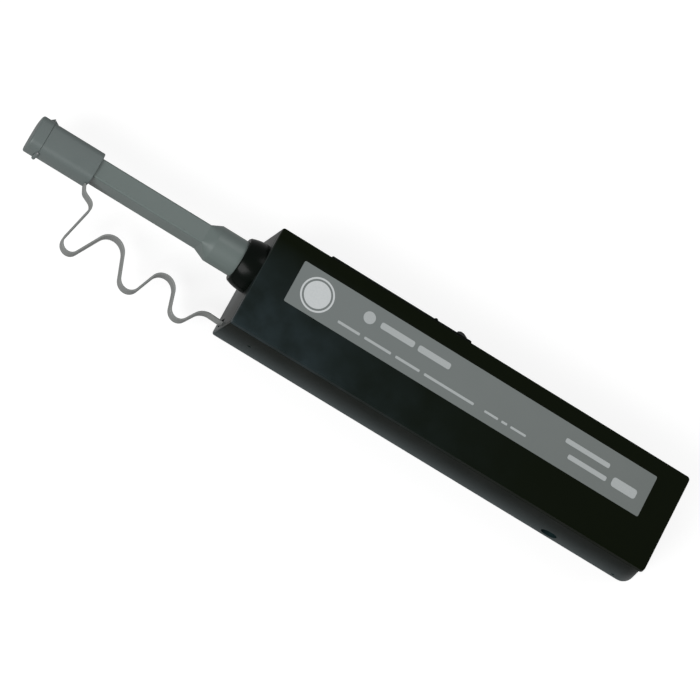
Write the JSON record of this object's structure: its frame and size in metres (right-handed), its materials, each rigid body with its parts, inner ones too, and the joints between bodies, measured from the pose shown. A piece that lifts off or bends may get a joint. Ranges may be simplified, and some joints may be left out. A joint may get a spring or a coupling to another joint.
{
  "type": "fibre connector cleaning pen",
  "caption": "Push-and-wipe cleaning pen for multi-fibre connectors, with a flat nozzle, thumb slide, tape reels and a tethered cap with a flip lid.",
  "frame": {"origin": "centre of the flat back of the housing, which is the face it lies on", "axes": "+X from the nozzle to the rear end, +Y to the side with the thumb slide, +Z out of the label face"},
  "size_m": [0.2248, 0.0416, 0.024],
  "materials": {
    "shell_black": "fine satin texture",
    "cover_black": "fine satin texture",
    "label_grey": "printed film, satin",
    "collar_black": "semi-gloss",
    "nozzle_grey": "satin",
    "cap_grey": "satin",
    "strap_grey": "soft moulded plastic",
    "stem_white": "satin",
    "head_white": "soft",
    "tape_white": "woven microfibre",
    "reel_white": "satin",
    "gear_pom": "satin",
    "spring_steel": "bright drawn wire",
    "pin_steel": "ground",
    "screw_steel": "black zinc"
  },
  "bodies": {
    "housing": {"rear_shell": "shell_black", "front_cover": "cover_black", "label": "label_grey", "nozzle_collar": "collar_black", "tape_stem": "stem_white", "stem_block": "stem_white", "cleaning_tape": "tape_white", "roller_pins": "pin_steel", "takeup_shaft": "pin_steel", "supply_shaft": "pin_steel", "click_pawl": "spring_steel", "drag_spring": "spring_steel", "case_screws": "screw_steel", "tether_strap": "strap_grey", "nozzle_spring": "spring_steel", "head_spring": "spring_steel", "return_spring": "spring_steel", "clutch_spring": "spring_steel"},
    "nozzle": {"nozzle": "nozzle_grey"},
    "head": {"cleaning_head": "head_white"},
    "thumb": {"thumb_knob": "shell_black", "slide_rack": "gear_pom"},
    "gear": {"drive_gear": "gear_pom"},
    "takeup": {"takeup_reel": "reel_white", "takeup_roll": "tape_white"},
    "supply": {"supply_reel": "reel_white", "supply_roll": "tape_white"},
    "corner_roller_body": {"corner_roller": "reel_white"},
    "feed_roller_body": {"feed_roller": "reel_white"},
    "run_roller_body": {"run_roller": "reel_white"},
    "cap_body": {"cap": "cap_grey", "lid_pin": "pin_steel"},
    "lid": {"cap_lid": "cap_grey"}
  },
  "joints": [
    {"name": "nozzle_push", "type": "slide", "parent": "housing", "child": "nozzle", "axis": [1, 0, 0], "range_m": [0, 0.009], "stiffness_N_per_m": 300, "springref_m": -0.01, "deforming": ["nozzle_spring"]},
    {"name": "head_float", "type": "slide", "parent": "housing", "child": "head", "axis": [1, 0, 0], "range_m": [0, 0.0015], "stiffness_N_per_m": 600, "springref_m": -0.0008, "deforming": ["head_spring"]},
    {"name": "thumb_slide", "type": "slide", "parent": "housing", "child": "thumb", "axis": [-1, 0, 0], "range_m": [0, 0.038], "stiffness_N_per_m": 40, "springref_m": -0.02, "deforming": ["return_spring", "click_pawl", "clutch_spring"]},
    {"name": "gear_turn", "type": "hinge", "parent": "housing", "child": "gear", "pos_m": [-0.0085, -0.0008, 0.0156], "axis": [0, 0, 1], "range_deg": [0, 199]},
    {"name": "takeup_turn", "type": "hinge", "parent": "housing", "child": "takeup", "pos_m": [-0.0085, -0.0008, 0.0156], "axis": [0, 0, 1], "range_deg": [0, 199]},
    {"name": "supply_turn", "type": "hinge", "parent": "housing", "child": "supply", "pos_m": [0.0375, 0, 0.0156], "axis": [0, 0, 1], "range_deg": [-106, 0]},
    {"name": "corner_roller_turn", "type": "hinge", "parent": "housing", "child": "corner_roller_body", "pos_m": [-0.01795, -0.0109, 0.0156], "axis": [0, 0, 1], "range_deg": [-594, 0]},
    {"name": "feed_roller_turn", "type": "hinge", "parent": "housing", "child": "feed_roller_body", "pos_m": [-0.02215, -0.00026, 0.0156], "axis": [0, 0, 1], "range_deg": [0, 662]},
    {"name": "run_roller_turn", "type": "hinge", "parent": "housing", "child": "run_roller_body", "pos_m": [-0.0247, 0.00345, 0.0156], "axis": [0, 0, 1], "range_deg": [-702, 0]},
    {"name": "cap_pull", "type": "slide", "parent": "housing", "child": "cap_body", "axis": [-1, 0, 0], "range_m": [0, 0.022], "deforming": ["tether_strap"]},
    {"name": "lid_flip", "type": "hinge", "parent": "cap_body", "child": "lid", "pos_m": [-0.14665, -0.0021, 0.0156], "axis": [0, 0, 1], "range_deg": [0, 135]}
  ],
  "couplings": [
    {"joint": "gear_turn", "follows": "thumb_slide", "rad_per_m": 90.909},
    {"joint": "takeup_turn", "follows": "thumb_slide", "rad_per_m": 90.909},
    {"joint": "supply_turn", "follows": "thumb_slide", "rad_per_m": -48.148},
    {"joint": "corner_roller_turn", "follows": "thumb_slide", "rad_per_m": -272.26},
    {"joint": "feed_roller_turn", "follows": "thumb_slide", "rad_per_m": 303.29},
    {"joint": "run_roller_turn", "follows": "thumb_slide", "rad_per_m": -321.61}
  ]
}
